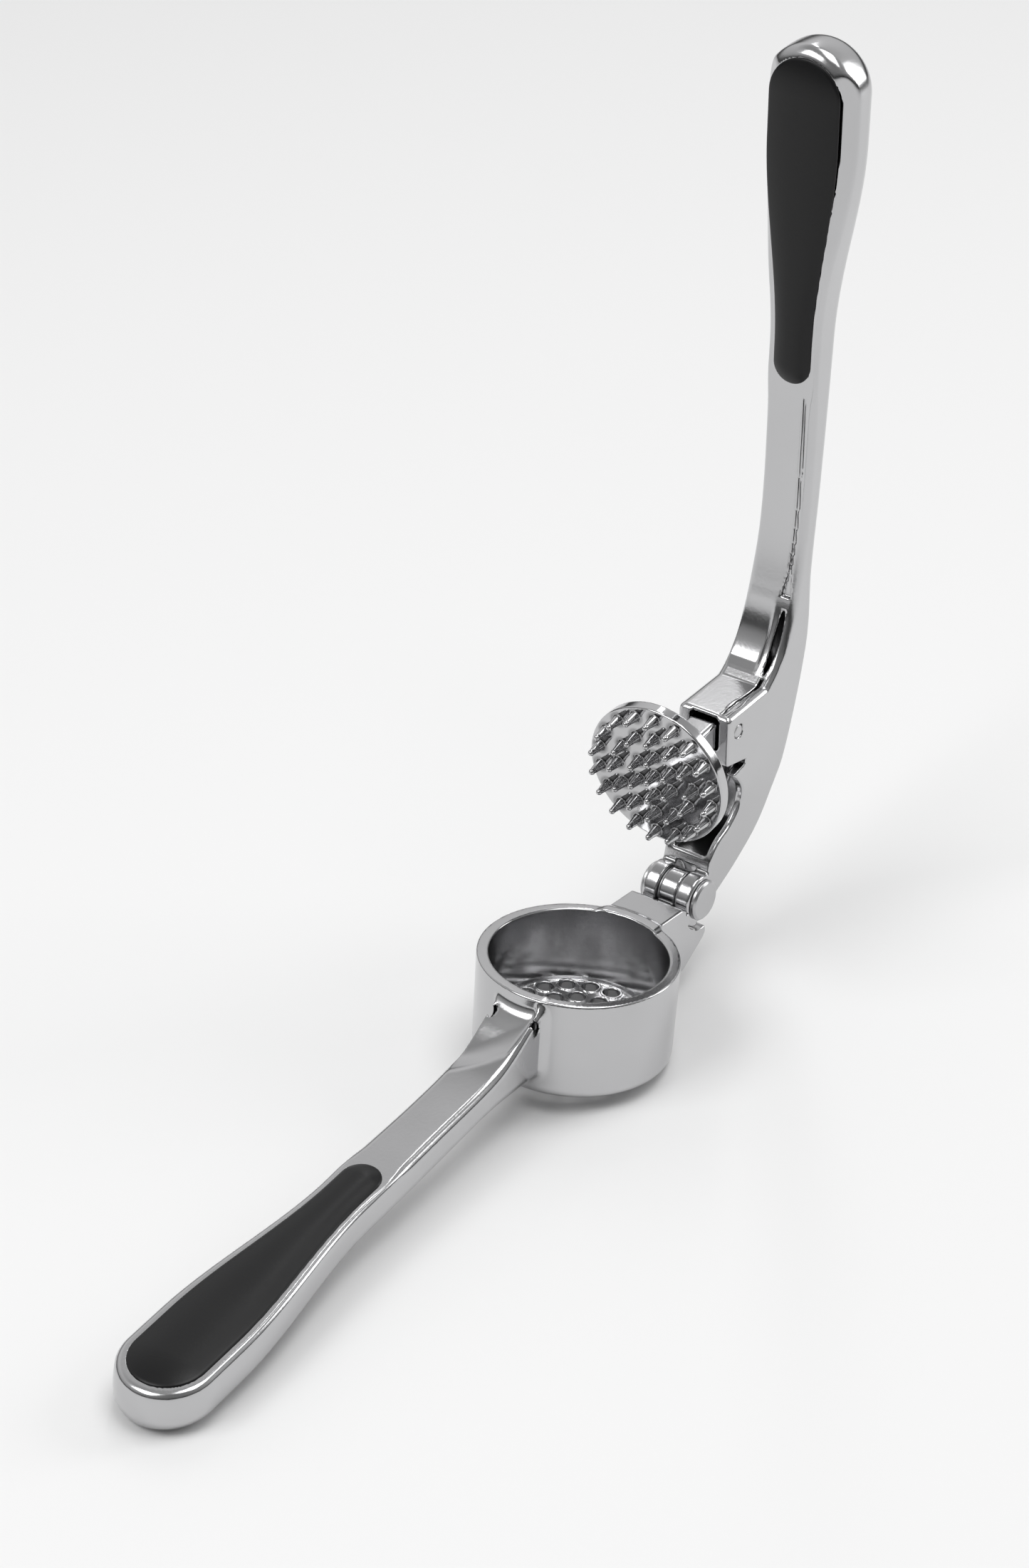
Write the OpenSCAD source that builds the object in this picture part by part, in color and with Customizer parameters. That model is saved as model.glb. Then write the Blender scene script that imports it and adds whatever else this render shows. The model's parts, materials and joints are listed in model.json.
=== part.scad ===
// Hand-held garlic press, shown open and standing on a table.
// It rests on the edge of its cup and on the underside of the lower handle's end.
// The origin is on the table, under the middle of the press. +Z is up, the lower handle runs
// towards -X, the hinge is on the +X side and the press is symmetric about the XZ plane.

/* [Cup] */
// Height of the cup from its base face to its rim
cup_h = 22.6; // [20:0.1:30]
// Inner radius of the cup at its rim
mouth_r = 18.8; // [15:0.1:24]
// Thickness of the cup's wall at the rim
cup_wall = 2.5; // [1.8:0.1:3.5]
// How much narrower the bore is at the sieve than at the rim
bore_taper = 1.7; // [0.5:0.1:2.2]
// How much narrower the cup's outside is at its base than at its rim
cup_draft = 0.3; // [0:0.1:1]
// Radius of the cup's rounded lower edge
base_edge_r = 2.2; // [1:0.1:3]

/* [Sieve] */
// Depth of the sieve's upper face below the rim
sieve_depth = 15.7; // [12:0.1:18]
// Thickness of the sieve plate
sieve_t = 2.4; // [1.5:0.1:3]
// Width of the ledge that carries the sieve plate
ledge_w = 1.2; // [0.8:0.1:2]
// Radius of each sieve hole
hole_r = 1.75; // [1.5:0.05:2]
// Width of the countersink round each sieve hole
hole_sink = 0.5; // [0.2:0.05:0.5]

/* [Plunger] */
// Clearance between the plunger's disc and the bore at the sieve
disc_gap = 0.8; // [0.6:0.1:1.5]
// Thickness of the plunger's disc
disc_t = 2.7; // [2:0.1:4]
// Clearance round the base of a peg in its hole
peg_gap = 0.45; // [0.35:0.05:0.8]
// Radius of a peg's rounded tip
peg_tip_r = 0.7; // [0.5:0.05:0.8]
// Length of a peg
peg_len = 4; // [3:0.1:4.4]
// Half thickness of the plunger's stem across the press
stem_half = 3.3; // [2.5:0.1:3.6]
// Radius of the stem's round end
stem_r = 3.3; // [2.6:0.1:3.6]
// Radius of the pin that carries the plunger
plunger_pin_r = 1.5; // [1:0.1:1.8]

/* [Hinge] */
// Distance from the cup's outer wall to the hinge axis
hinge_reach = 16.6; // [14:0.1:24]
// Depth of the hinge axis below the rim
hinge_drop = 1.1; // [0:0.1:3]
// Radius of the hinge pin's shank
hinge_pin_r = 2.2; // [1.6:0.05:2.8]
// Radius of the lower casting's knuckle
knuckle_r = 4.9; // [4:0.1:6]
// Half width of the knuckle
knuckle_half = 2; // [1.5:0.1:3]
// Thickness of each hinge washer
washer_t = 0.4; // [0.3:0.05:0.8]
// Thickness of each hinge ear
ear_t = 3.4; // [2.5:0.1:4.5]
// Radius of the ears about the hinge axis
ear_r = 5.5; // [4.8:0.1:7]
// Radius of the pin's head and of its cap
pin_head_r = 4.5; // [3.5:0.1:6]
// Thickness of the pin's head and of its cap
pin_head_t = 1.15; // [0.8:0.05:2]

/* [Travel] */
// Angle of the open upper handle above the horizontal plane of the cup
open_lean = 95.6; // [90:0.1:100]
// Angle that the upper handle turns through from open to closed
close_turn = 90.7; // [80:0.1:95]
// Height of the plunger's pin above the hinge axis when the press is closed
pin_rise = 7.9; // [6:0.1:12]
// Swing of the plunger against the upper handle while the press closes
plunger_swing = 11; // [5:0.5:14]

/* [Handles] */
// Length of each inlay between the centres of its round ends
inlay_len = 58.4; // [45:0.1:80]
// Radius of an inlay's narrow end
inlay_r0 = 4.35; // [3.5:0.05:6]
// Radius of an inlay's wide end
inlay_r1 = 8.25; // [6.5:0.05:11]
// Width of the metal rim round an inlay
inlay_rim = 1.7; // [1.2:0.1:3]
// Depth of the pocket that holds an inlay
inlay_seat = 2.2; // [1.5:0.1:3]
// Height of an inlay's crown above the metal
inlay_crown = 1.3; // [0.5:0.1:2]
// Distance from the cup's axis to the narrow end of the lower inlay
lower_inlay_x = 73.8; // [60:0.1:100]
// Distance from the hinge to the narrow end of the upper inlay, along the bar
upper_inlay_u = 110.2; // [95:0.1:140]
// Thickness of a handle beside the inlay's narrow end
bar_t = 8.2; // [7:0.1:10]
// Thickness of the lower handle at its wide end
lower_bulb_t = 10.4; // [9:0.1:13]
// Thickness of the upper handle at its wide end
upper_bulb_t = 12.4; // [10:0.1:15]
// Slope of the lower handle below the horizontal plane of the cup
lower_slope = 9.6; // [6:0.1:12]
// Depth of the lower handle's face below the rim, produced to the cup's axis
lower_face_drop = 5.5; // [4:0.1:8]
// Distance between the hinge axis and the face of the upper handle
bar_offset = 37.3; // [32:0.1:42]

/* [Arm] */
// Thickness of the side plates beside the channel
plate_t = 1.7; // [1.2:0.1:2.4]
// Thickness of the channel's back
web_t = 2.6; // [1.8:0.1:3.5]

/* [Hidden] */
$fn = 96;
running = 0.06;    // radial clearance of a turning fit
side_gap = 0.05;   // play beside the washers and under the pin's heads
seat_gap = 0.1;    // clearance round the sieve and the inlays
press_gap = 0.3;   // space left between the closed plunger and the sieve
stem_play = 0.3;   // play at each side of the plunger's stem in its socket
stem_room = 0.6;   // room round the stem's round end, in which it swings
over = 1;          // how far a cutting tool passes the face that it opens

cup_r = mouth_r + cup_wall;
base_r = cup_r - cup_draft;
seat_r = mouth_r - bore_taper;
ledge_r = seat_r - ledge_w;
sieve_z = cup_h - sieve_depth;
ledge_z = sieve_z - sieve_t;

least_pitch = 4.6; // least distance between neighbouring rings of holes
edge_land = 0.05;  // metal between the outer holes and the ledge's inner edge
rings = floor((ledge_r - hole_r) / least_pitch);
ring_pitch = (ledge_r - hole_r - edge_land) / rings;
hole_places = [for (k = [0:rings]) for (i = [0:max(1, 6 * k) - 1])
    let (a = 360 * i / max(1, 6 * k)) ring_pitch * k * [cos(a), sin(a)]];
sink_depth = 0.6;  // depth of the countersink round a hole

hinge_x = cup_r + hinge_reach;
hinge_z = cup_h - hinge_drop;
pin_shift = 0.5;   // offset of the closed plunger towards the hinge, so that its pegs swing in freely
pin_run = hinge_x - pin_shift;
pin_dist = norm([pin_run, pin_rise]);
pin_angle = 180 - atan2(pin_rise, pin_run) - close_turn - open_lean;
pin_u = pin_dist * cos(pin_angle);
pin_v = pin_dist * sin(pin_angle);
stem_lean = 270 + plunger_swing - close_turn - open_lean - 90;
pin_reach = hinge_z + pin_rise - sieve_z - press_gap;
disc_r = seat_r - disc_gap;
peg_r = hole_r - peg_gap;

ear_in = knuckle_half + washer_t + 2 * side_gap;
ear_out = ear_in + ear_t;
head_in = ear_out + side_gap;
arm_half = ear_out;           // the arm's sides are flush with the ears
bracket_half = arm_half + 0.8;
spigot_r = hinge_pin_r * 0.6; // shank of the pin inside its riveted cap
washer_set = 0.3;             // how much smaller the washers are than the knuckle
head_edge = 0.4;              // bevel round the pin's head and its cap
relief_r = ear_r + 1.25;      // room for the ears in the bracket
heel_r = ear_r + 0.9;
stop_angle = 215;  // direction, seen from the hinge, in which the heel meets its stop
stop_gap = 1;      // angle left between the heel and its stop

inlay_face = inlay_r1 + inlay_rim;
neck_half = inlay_r0 + inlay_rim;
face_edge = 0.9;   // rounding of the edges of a handle's face
back_edge = 2.6;   // rounding of the edges of its back, at the neck
bulb_edge = 3.4;   // and at its wide end
lower_face_z = cup_h - lower_face_drop;
lower_end_x = -lower_inlay_x - inlay_len * cos(lower_slope);
foot_r = 4;        // height over which a handle's underside rounds off at its end
foot_run = 7;      // length over which it does so
foot_x = lower_end_x - inlay_face + foot_run;
foot_z = lower_face_z + foot_x * tan(lower_slope) - lower_bulb_t + foot_r;

// The press stands on a line that touches the cup's rounded edge and the handle's foot.
rest_dx = base_r - base_edge_r - foot_x;
rest_dz = base_edge_r - foot_z;
tilt = atan2(rest_dz, rest_dx) - asin((base_edge_r - foot_r) / norm([rest_dx, rest_dz]));
floor_z = base_edge_r * (cos(tilt) - 1) - (base_r - base_edge_r) * sin(tilt);

// Where the standing press ends along X, seen from the centre of the cup's base.
lean = open_lean - tilt;
near_x = (lower_end_x - inlay_face) * cos(tilt) + foot_z * sin(tilt);
far_x = hinge_x * cos(tilt) + hinge_z * sin(tilt) + (upper_inlay_u + inlay_len) * cos(lean)
    + (bar_offset + upper_bulb_t) * sin(lean);

zinc = "silver";
steel = "gainsboro";
grip = "#202020";

// Curves

function smooth(t) = let (c = max(0, min(1, t))) c * c * (3 - 2 * c);

function curve_at(a, b, c, d, t) =
    (2 * b + (c - a) * t + (2 * a - 5 * b + 4 * c - d) * t * t + (3 * b - a - 3 * c + d) * t * t * t) / 2;

// A smooth line through the points p, with n steps between neighbours.
function curve(p, n = 5) = concat(
    [for (i = [0:len(p) - 2]) for (k = [0:n - 1])
        curve_at(p[max(i - 1, 0)], p[i], p[i + 1], p[min(i + 2, len(p) - 1)], k / n)],
    [p[len(p) - 1]]);

// The line p moved sideways by d, to the left of its direction.
function beside(p, d) = [for (i = [0:len(p) - 1])
    let (t = p[min(i + 1, len(p) - 1)] - p[max(i - 1, 0)], n = [-t[1], t[0]] / norm(t)) p[i] + d * n];

// Half width of an inlay at a distance s from the centre of its narrow end.
function inlay_half(s) = inlay_r0 + (inlay_r1 - inlay_r0) * smooth((s / inlay_len - 0.08) / 0.75);

// Outline of an inlay, narrow end at the origin, wide end along +X, moved outwards by d.
function inlay_outline(d) = concat(
    [for (a = [90:15:270]) (inlay_r0 + d) * [cos(a), sin(a)]],
    [for (i = [1:11]) let (s = inlay_len * i / 12) [s, -inlay_half(s) - d]],
    [for (a = [-90:15:90]) [inlay_len, 0] + (inlay_r1 + d) * [cos(a), sin(a)]],
    [for (i = [11:-1:1]) let (s = inlay_len * i / 12) [s, inlay_half(s) + d]]);

// Half width of a handle at a distance s from the centre of the inlay's narrow end.
function bar_half(s) = s > inlay_len
    ? sqrt(max(1, pow(inlay_face, 2) - pow(s - inlay_len, 2)))
    : inlay_half(max(0, s)) + inlay_rim;

// Thickness of a handle there, with its underside rounded off towards the end.
function bar_depth(s, bulb_t) =
    let (t = bar_t + (bulb_t - bar_t) * smooth(s / inlay_len),
        e = max(0, s - inlay_len - inlay_face + foot_run) * foot_r / foot_run)
    t - foot_r + sqrt(max(0.2, foot_r * foot_r - e * e));

// Distances s at which a handle's cross-sections are taken, from the inlay to the end.
bar_steps = concat(
    [for (i = [0:8]) inlay_len * i / 8],
    [for (a = [15:11:81]) inlay_len + inlay_face * sin(a)]);

// Cross-section of half width w from its face down to its back, whose edges have radius b.
function section(w, face, back, b) =
    let (rf = min(face_edge, w * 0.8), rb = min(b, w * 0.8, (face - back) * 0.45)) concat(
    [for (a = [0:30:90]) [w - rf + rf * cos(a), face - rf + rf * sin(a)]],
    [for (a = [90:30:180]) [rf - w + rf * cos(a), face - rf + rf * sin(a)]],
    [for (a = [180:30:270]) [rb - w + rb * cos(a), back + rb + rb * sin(a)]],
    [for (a = [270:30:360]) [w - rb + rb * cos(a), back + rb + rb * sin(a)]]);

// A closed skin over cross-sections of equal point counts. Each row is [position, section].
module skin(rows) {
    n = len(rows[0][1]);
    last = len(rows) - 1;
    polyhedron(
        points = [for (r = rows) for (p = r[1]) [r[0], p[0], p[1]]],
        faces = concat(
            [[for (j = [0:n - 1]) j]],
            [for (i = [0:last - 1]) for (j = [0:n - 1]) for (h = [0, 1])
                let (a = i * n + j, b = i * n + (j + 1) % n)
                h == 0 ? [a, a + n, b] : [b, a + n, b + n]],
            [[for (j = [n - 1:-1:0]) last * n + j]]),
        convexity = 6);
}

// Frames: the standing press, the hinge, the upper casting and the plunger

module standing() {
    translate([-(near_x + far_x) / 2, 0, -floor_z]) rotate([0, tilt, 0]) children();
}

// A side outline in the XZ plane, extruded to both sides of the middle.
module sides(half) {
    rotate([90, 0, 0]) linear_extrude(height = 2 * half, center = true) children();
}

// A round bar along Y from y0 to y1.
module crossbar(r, y0, y1) {
    translate([0, y1, 0]) rotate([90, 0, 0]) cylinder(r = r, h = y1 - y0);
}

module at_hinge() {
    translate([hinge_x, 0, hinge_z]) children();
}

// X runs along the upper handle and Z points out of its inner face.
module upper() {
    standing() at_hinge() rotate([0, -open_lean, 0]) children();
}

// Lower casting

// Height of the lower handle's straight face.
function slope_z(x) = lower_face_z + x * tan(lower_slope);

// The whole face, in the XZ plane: swept down from under the rim, then straight to the inlay.
sweep = 17;        // length over which the lower handle sweeps up to the cup
face_curve = curve([
    [-cup_r - 0.5, cup_h - 3.2], [-cup_r - 3.2, cup_h - 6.6], [-cup_r - 8, cup_h - 9.6],
    [-cup_r - sweep, slope_z(-cup_r - sweep)], [-lower_inlay_x, slope_z(-lower_inlay_x)]]);
// Its underside, from the foot of the cup to the inlay.
under_curve = curve([
    [-cup_r + 2, 4.2], [-cup_r - 6, 4], [-cup_r - sweep, slope_z(-cup_r - sweep) - bar_t + 0.8],
    [-lower_inlay_x, slope_z(-lower_inlay_x) - bar_t]]);
function along(p, x) = lookup(-x, [for (q = p) [-q[0], q[1]]]);

// Half width of the lower handle's neck, which widens a little at the cup.
function neck_at(x) = neck_half - 0.4 * smooth((lower_inlay_x + x) / 20) + 1.2 * smooth((x + cup_r + 6) / 7);

lower_rows = concat(
    [for (d = [-2, 0.6, 1.6, 2.8, 4.4, 6.4, 9, 12.5, 17, 23, 31, 40]) let (x = -cup_r - d)
        if (x > 3 - lower_inlay_x)
        [x, section(neck_at(x), along(face_curve, x), along(under_curve, x), back_edge)]],
    [for (s = bar_steps) let (x = -lower_inlay_x - s * cos(lower_slope), z = slope_z(x))
        [x, section(bar_half(s), z, z - bar_depth(s, lower_bulb_t), bulb_edge)]]);

// Side outline of the hinge bracket: level plate, knuckle root, stop lug and gusset.
bracket = [
    [mouth_r + 0.8, cup_h], [hinge_x - 8.3, cup_h], [hinge_x - 4.6, hinge_z - 1], [hinge_x, hinge_z],
    [hinge_x + 1.4, hinge_z - relief_r], [hinge_x + 1.7, hinge_z - relief_r - 1.4],
    [hinge_x + 0.9, hinge_z - relief_r - 2.6], [hinge_x - 5.1, 7.6], [cup_r + 4.7, 3.9],
    [cup_r - 0.8, 2.6]];

// A sector about the hinge from angle a to angle b, wide enough to hold radius r.
module sector(r, a, b) {
    polygon([[0, 0], 2 * r * [cos(a), sin(a)], 2 * r * [cos(b), sin(b)]]);
}

// Room for one ear and its heel, with the stop left standing in it.
module ear_relief(y0, y1) {
    at_hinge() difference() {
        crossbar(relief_r, y0, y1);
        difference() {
            sides(bracket_half + over) sector(relief_r, stop_angle - 30, stop_angle - stop_gap);
            crossbar(ear_r + 0.3, y0 - over, y1 + over);
        }
    }
}

module cup_body() {
    rotate_extrude() {
        polygon([[0, 0], [base_r - base_edge_r, 0], [base_r, base_edge_r], [cup_r, cup_h - 0.3],
            [cup_r - 0.3, cup_h], [0, cup_h]]);
        translate([base_r - base_edge_r, base_edge_r]) circle(r = base_edge_r);
    }
}

module cup_bore() {
    translate([0, 0, -over]) cylinder(r = ledge_r, h = cup_h + over);
    translate([0, 0, ledge_z]) cylinder(r = seat_r, h = cup_h);
    bore_h = cup_h - sieve_z;
    translate([0, 0, sieve_z])
        cylinder(r1 = seat_r, r2 = mouth_r + bore_taper * over / bore_h, h = bore_h + over);
}

// Pocket for an inlay and the two holes for its pegs, cut down from the face at z = 0.
module inlay_pocket() {
    translate([0, 0, -inlay_seat])
        linear_extrude(height = inlay_seat + over) polygon(inlay_outline(seat_gap));
    for (s = inlay_peg_places) translate([s, 0, -inlay_seat - inlay_peg_len - seat_gap])
        cylinder(r = inlay_peg_r + running, h = over + inlay_peg_len);
}

module at_lower_inlay() {
    translate([-lower_inlay_x, 0, slope_z(-lower_inlay_x)])
        rotate([0, -lower_slope, 0]) rotate([0, 0, 180]) children();
}

module at_upper_inlay() {
    translate([upper_inlay_u, 0, -bar_offset]) children();
}

module hopper_handle() {
    color(zinc) standing() difference() {
        union() {
            cup_body();
            skin(backwards(lower_rows));
            sides(bracket_half) polygon(bracket);
            at_hinge() crossbar(knuckle_r, -knuckle_half, knuckle_half);
        }
        cup_bore();
        ear_relief(knuckle_half, bracket_half + over);
        ear_relief(-bracket_half - over, -knuckle_half);
        at_hinge() crossbar(hinge_pin_r, -knuckle_half - over, knuckle_half + over);
        at_lower_inlay() inlay_pocket();
    }
}

// Sieve

module sieve_plate() {
    color(steel) standing() difference() {
        translate([0, 0, ledge_z]) cylinder(r = seat_r - seat_gap, h = sieve_t);
        for (p = hole_places) translate([p[0], p[1], ledge_z - over]) {
            cylinder(r = hole_r, h = sieve_t + 2 * over, $fn = 32);
            translate([0, 0, sieve_t + over - sink_depth])
                cylinder(r1 = hole_r, r2 = hole_r + hole_sink * 2, h = sink_depth * 2, $fn = 32);
        }
    }
}

// Inlays

inlay_peg_r = 1.4;
inlay_peg_len = 2;
inlay_peg_places = [2, inlay_len - 2];

// Rings of an inlay from its underside to its crown: share of the half width, and height.
inlay_rings = concat([[1, -inlay_seat], [1, 0]],
    [for (a = [15:15:75]) [cos(a), inlay_crown * sin(a)]], [[0.1, inlay_crown]]);

// The outline of one ring: the rim drawn in towards the inlay's middle line.
function inlay_ring(share) = [for (p = inlay_outline(0))
    let (s = max(0, min(inlay_len, p[0]))) [s + (p[0] - s) * share, p[1] * share]];

module inlay() {
    n = len(inlay_outline(0));
    last = len(inlay_rings) - 1;
    polyhedron(
        points = [for (r = inlay_rings) for (p = inlay_ring(r[0])) [p[0], p[1], r[1]]],
        faces = concat(
            [[for (j = [0:n - 1]) j]],
            [for (i = [0:last - 1]) for (j = [0:n - 1]) for (h = [0, 1])
                let (a = i * n + j, b = i * n + (j + 1) % n)
                h == 0 ? [a, a + n, b] : [b, a + n, b + n]],
            [[for (j = [n - 1:-1:0]) last * n + j]]),
        convexity = 4);
    for (s = inlay_peg_places)
        translate([s, 0, -inlay_seat - inlay_peg_len]) cylinder(r = inlay_peg_r, h = inlay_peg_len + 0.5);
}

module lower_inlay() {
    color(grip) standing() at_lower_inlay() inlay();
}

module upper_inlay() {
    color(grip) upper() at_upper_inlay() inlay();
}

// Upper casting

boss_front = pin_v + 4.1;
boss_low = pin_u - 8.2;
boss_high = pin_u + 5;
arm_end = boss_high + 4;

// The arm's outer edge from the ear, round the back, to the inlay.
bar_back = -bar_offset - bar_t;
outer_curve = curve([
    [-2.2, -5], [2.6, 0.32 * bar_back], [8.6, 0.505 * bar_back], [18, 0.65 * bar_back],
    [30, 0.756 * bar_back], [44, 0.84 * bar_back], [60, 0.9 * bar_back], [80, 0.954 * bar_back],
    [upper_inlay_u, bar_back]]);
// The bar's inner face from the top of the boss to the inlay.
boss_foot = boss_front - 15;
fall = -bar_offset - boss_foot;
inner_curve = curve([
    [boss_high, boss_foot], [boss_high + 3.5, boss_foot + 0.29 * fall],
    [boss_high + 9.5, boss_foot + 0.54 * fall], [boss_high + 18, boss_foot + 0.735 * fall],
    [boss_high + 36, boss_foot + 0.94 * fall], [upper_inlay_u, -bar_offset]]);
// The edge of the side plates between the ear and the boss.
throat_curve = curve([
    [4.6, -2.6], [8.6, -3.8], [11.2, -6.6], [13, -10.6], [16, -13.8], [20, -14.6], [23.6, -12.6],
    [boss_low, boss_front]]);

// The stretch of a curve with its first coordinate between a and b.
function part_of(p, a, b) = [for (q = p) if (q[0] >= a && q[0] <= b) q];
function backwards(p) = [for (i = [len(p) - 1:-1:0]) p[i]];

// Half width of the upper bar, just inside the arm's sides.
upper_neck = min(arm_half, neck_half) - 0.05;

upper_rows = concat(
    [for (d = [2, 5, 8, 12, 17, 23, 31, 40, 50]) let (u = boss_high + d)
        if (u < upper_inlay_u - 3)
        [u, section(upper_neck, lookup(u, inner_curve), lookup(u, outer_curve), back_edge)]],
    [for (s = bar_steps) [upper_inlay_u + s,
        section(bar_half(s), -bar_offset, -bar_offset - bar_depth(s, upper_bulb_t), bulb_edge)]]);

module arm_outline() {
    circle(r = ear_r);
    polygon(concat(
        part_of(outer_curve, -3, arm_end),
        [[arm_end, lookup(arm_end, inner_curve)]],
        backwards(part_of(inner_curve, boss_high, arm_end)),
        [[boss_high - 0.6, boss_front - 0.6], [boss_high - 1.2, boss_front]],
        backwards(throat_curve)));
}

// The hollow between the side plates, open towards the cup.
module channel_outline() {
    polygon(concat(
        part_of(beside(outer_curve, web_t), 8, boss_low - 1.5),
        [[boss_low - 1.5, 5], [8, 5]]));
}

module heel() {
    intersection() {
        sides(ear_out) rotate(-open_lean) sector(heel_r, stop_angle, stop_angle + 45);
        crossbar(heel_r, -ear_out, ear_out);
    }
}

module stem_socket() {
    half_u = stem_r + stem_room;
    half_y = stem_half + stem_play;
    translate([pin_u - half_u, -half_y, pin_v - half_u])
        cube([2 * half_u, 2 * half_y, boss_front - pin_v + half_u + over]);
}

module press_handle() {
    color(zinc) upper() difference() {
        union() {
            sides(ear_out) arm_outline();
            skin(upper_rows);
            heel();
        }
        sides(arm_half - plate_t) channel_outline();
        crossbar(knuckle_r + 1.4, -ear_in, ear_in);
        translate([-heel_r - over, -ear_in, -heel_r]) cube([heel_r + over, 2 * ear_in, 2 * heel_r]);
        crossbar(hinge_pin_r + running, -ear_out - over, ear_out + over);
        stem_socket();
        translate([pin_u, 0, pin_v]) crossbar(plunger_pin_r, -ear_out - over, ear_out + over);
        at_upper_inlay() inlay_pocket();
    }
}

// Hinge hardware

module hinge_pin() {
    color(steel) standing() at_hinge() {
        crossbar(hinge_pin_r, -head_in, head_in);
        translate([0, -head_in, 0]) rotate([90, 0, 0]) button(pin_head_r, pin_head_t);
        crossbar(spigot_r, head_in, head_in + pin_head_t);
    }
}

// A flat round head standing on z = 0 with a bevelled edge.
module button(r, t) {
    cylinder(r = r, h = t - head_edge);
    translate([0, 0, t - head_edge]) cylinder(r1 = r, r2 = r - head_edge, h = head_edge);
}

module hinge_cap() {
    color(steel) standing() at_hinge() difference() {
        translate([0, head_in, 0]) rotate([-90, 0, 0]) button(pin_head_r, pin_head_t);
        crossbar(spigot_r, head_in - over, head_in + pin_head_t + over);
    }
}

module hinge_washers() {
    color(steel) standing() at_hinge() for (side = [-1, 1])
        translate([0, side * (knuckle_half + side_gap + washer_t / 2), 0]) difference() {
            crossbar(knuckle_r - washer_set, -washer_t / 2, washer_t / 2);
            crossbar(hinge_pin_r + running, -washer_t, washer_t);
        }
}

// Plunger

module peg() {
    cylinder(r1 = peg_r, r2 = peg_tip_r, h = peg_len - peg_tip_r, $fn = 32);
    translate([0, 0, peg_len - peg_tip_r]) sphere(r = peg_tip_r, $fn = 32);
}

// X along the upper handle, Z out of the disc's face, the plunger's pin at the origin.
module plunger() {
    color(zinc) upper() translate([pin_u, 0, pin_v]) rotate([0, -stem_lean, 0]) {
        translate([0, 0, pin_reach]) {
            translate([0, 0, -disc_t]) cylinder(r = disc_r, h = disc_t);
            for (p = hole_places) translate([p[0], p[1], 0]) peg();
        }
        difference() {
            union() {
                crossbar(stem_r, -stem_half, stem_half);
                translate([-stem_r, -stem_half, 0])
                    cube([2 * stem_r, 2 * stem_half, pin_reach - disc_t / 2]);
            }
            crossbar(plunger_pin_r + running, -stem_half - over, stem_half + over);
        }
    }
}

module plunger_pin() {
    color(steel) upper() translate([pin_u, 0, pin_v]) crossbar(plunger_pin_r, -ear_out, ear_out);
}

hopper_handle();
sieve_plate();
lower_inlay();
press_handle();
upper_inlay();
hinge_pin();
hinge_cap();
hinge_washers();
plunger();
plunger_pin();
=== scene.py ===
import json
import math
import bmesh
import bpy
import numpy as np
from mathutils import Matrix, Vector


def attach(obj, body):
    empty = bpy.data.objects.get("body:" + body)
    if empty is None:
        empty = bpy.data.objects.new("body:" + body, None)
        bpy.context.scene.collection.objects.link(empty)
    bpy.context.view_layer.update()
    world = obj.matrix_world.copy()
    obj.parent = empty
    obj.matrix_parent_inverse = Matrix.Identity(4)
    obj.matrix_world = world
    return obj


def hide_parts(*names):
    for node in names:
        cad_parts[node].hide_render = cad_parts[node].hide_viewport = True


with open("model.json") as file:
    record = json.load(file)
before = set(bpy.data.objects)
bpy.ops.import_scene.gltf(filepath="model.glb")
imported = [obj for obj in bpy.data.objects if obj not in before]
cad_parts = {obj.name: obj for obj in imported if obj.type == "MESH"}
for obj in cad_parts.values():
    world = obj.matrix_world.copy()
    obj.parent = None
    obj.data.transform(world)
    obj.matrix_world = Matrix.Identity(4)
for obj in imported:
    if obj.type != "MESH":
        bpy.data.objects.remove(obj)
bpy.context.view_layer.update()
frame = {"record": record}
record = frame["record"]
mm = 0.001
print("frame loaded")

# Places taken from the frame
mounts = {m["name"]: m for m in record["mounts"]}
joints = {j["name"]: j for j in record["behaviour"]["joints"]}
baseAxis = mounts["cup_base"]["axis"]
tilt = math.atan2(-baseAxis[0], -baseAxis[2])          # lean of the cup as the press stands
baseAt = Vector((mounts["cup_base"]["pos_m"][0], 0, mounts["cup_base"]["pos_m"][2]))
hingeAt = Vector(joints["press_hinge"]["pos_m"])
pivotAt = Vector(joints["plunger_pivot"]["pos_m"])


# Sizes in mm. They are those of the CAD parts, but the pegs are a little finer.
cup = dict(height=22.6, mouthR=18.8, wall=2.5, taper=1.7, draft=0.3, edgeR=2.2, rimRound=0.35,
           mouthEdge=0.4, outletEdge=0.3, sieveZ=6.9, ledgeZ=4.5, ledgeR=15.9)
hinge = dict(pinR=2.2, knuckleR=4.9, knuckleHalf=2.0, earR=5.5, earIn=2.5, earOut=5.9, reliefR=6.75,
             headR=4.5, headT=1.15, heelR=6.4, stopAngle=215, x=37.9, z=21.5)
handle = dict(inlayLen=58.4, r0=4.35, r1=8.25, rim=1.7, seat=2.2, crown=1.3, barT=8.2,
              lowerBulb=10.4, slope=9.6, lowerX=73.8, faceZ=17.1, upperU=110.2,
              offset=37.3, openLean=95.6, swell=0.7)
plungerSize = dict(discR=16.3, discT=2.7, pegR=1.22, tipR=0.6, coneLen=3.3, pegLen=4.0, stemHalf=3.3,
                   stemR=3.3, pinR=1.5, reach=22.2, lean=4.7, pitch=4.7,
                   rings=3, holeR=1.75, discEdge=0.35, pegFillet=0.15, stemEdge=0.9, pinGap=0.08)
sieveShape = dict(drop=0.32, thick=2.08, gap=0.1, edge=0.3, lipOut=0.28, lipR=0.32, rimIn=0.75, rimR=0.35,
                  fillet=0.15)
cupR = cup["mouthR"] + cup["wall"]
seatR = cup["mouthR"] - cup["taper"]
boreEdge = 0.1                      # rounding of the drilled holes' edges
seatEdge = 0.3                      # rounding of the inlay pockets' edges
bevelLean = math.sqrt(0.5)


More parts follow.
